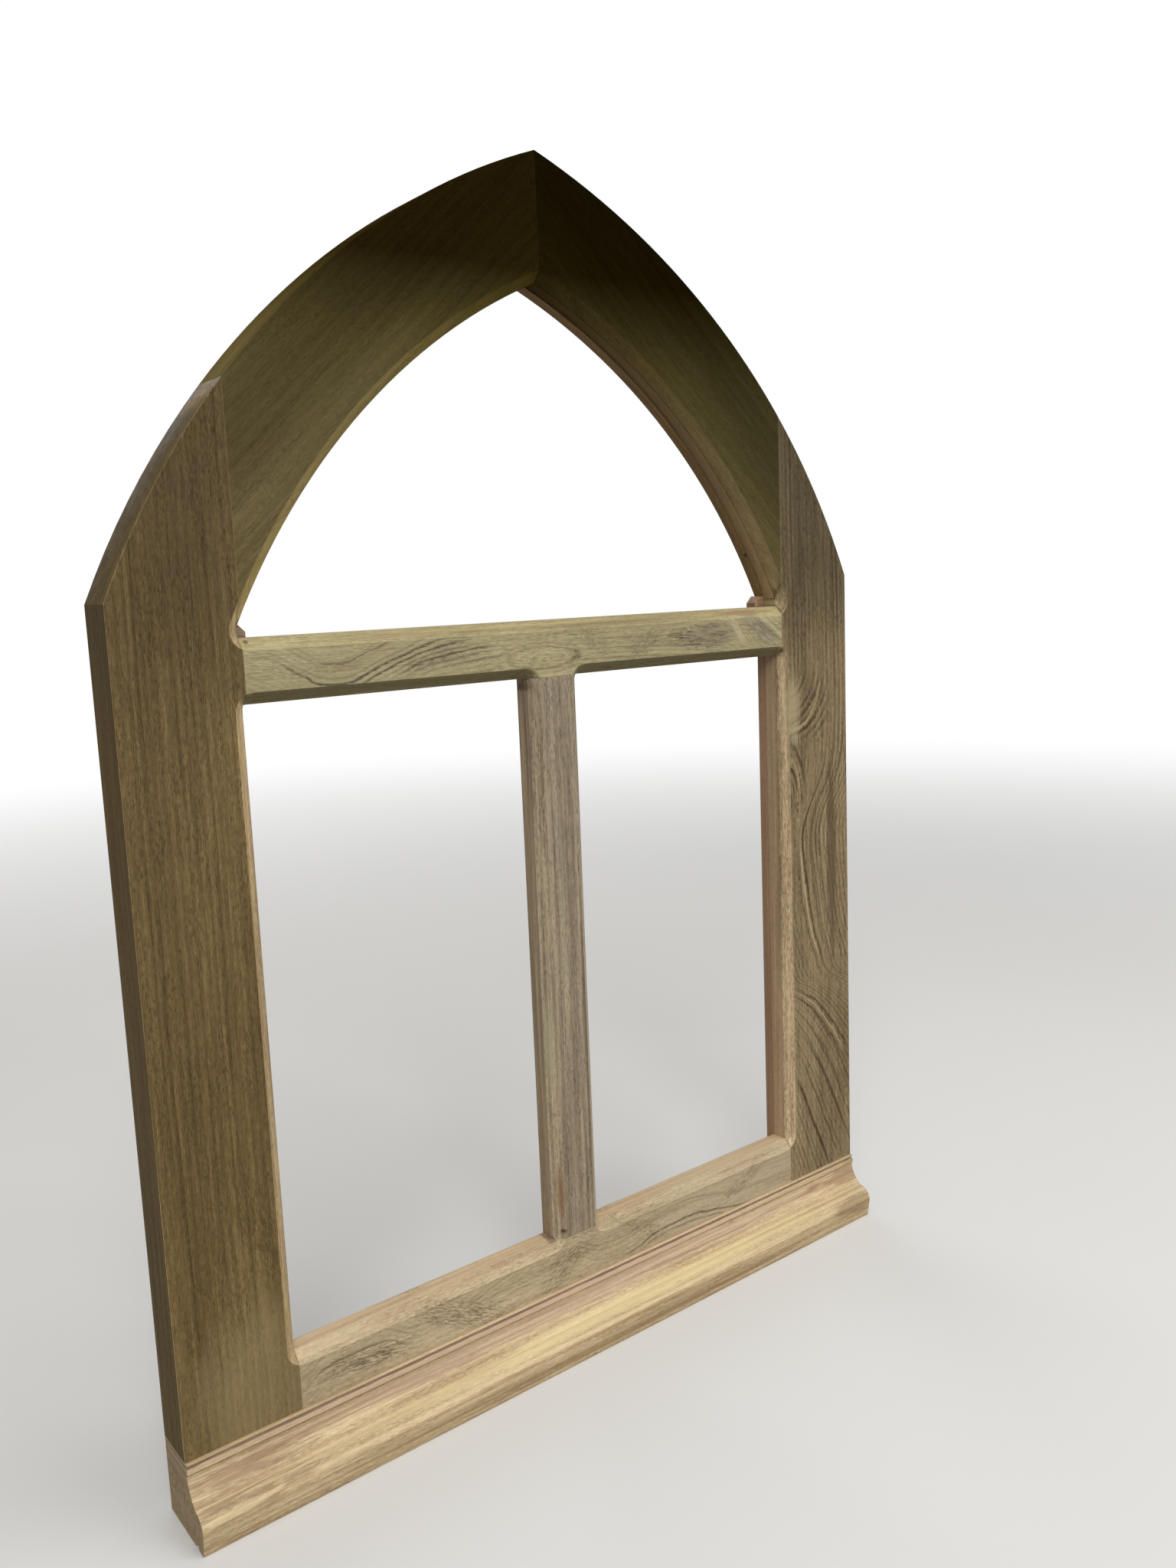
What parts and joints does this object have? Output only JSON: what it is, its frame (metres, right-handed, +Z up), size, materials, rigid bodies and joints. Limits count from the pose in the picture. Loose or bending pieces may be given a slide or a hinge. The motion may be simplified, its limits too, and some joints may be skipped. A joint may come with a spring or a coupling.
{
  "type": "gothic arched window frame",
  "caption": "Fixed timber window frame with a pointed head, transom, mullion, bevelled light edges, glazing rebates and a moulded sill.",
  "frame": {"origin": "middle of the box's underside: under the sill, half way along it and half way through the depth", "axes": "+X to the right seen from outside, +Y from outside into the wall, +Z up"},
  "size_m": [0.75, 0.069, 1.0456],
  "materials": {
    "jamb": "planed, lightly oiled",
    "arch": "planed, lightly oiled",
    "transom": "planed, lightly oiled",
    "mullion": "planed, lightly oiled",
    "rail": "planed, lightly oiled",
    "sill": "planed, lightly oiled",
    "bead": "planed, lightly oiled",
    "block": "planed, lightly oiled",
    "tongue": "planed, lightly oiled"
  },
  "bodies": {
    "root": {"left_jamb": "jamb", "right_jamb": "jamb", "left_arch": "arch", "right_arch": "arch", "transom": "transom", "mullion": "mullion", "bottom_rail": "rail", "sill": "sill", "left_jamb_bead": "bead", "right_jamb_bead": "bead", "left_arch_bead": "bead", "right_arch_bead": "bead", "left_corner_block": "block", "right_corner_block": "block", "left_springing_tongue": "tongue", "right_springing_tongue": "tongue", "apex_tongue": "tongue", "sill_tongue": "tongue"}
  },
  "joints": []
}
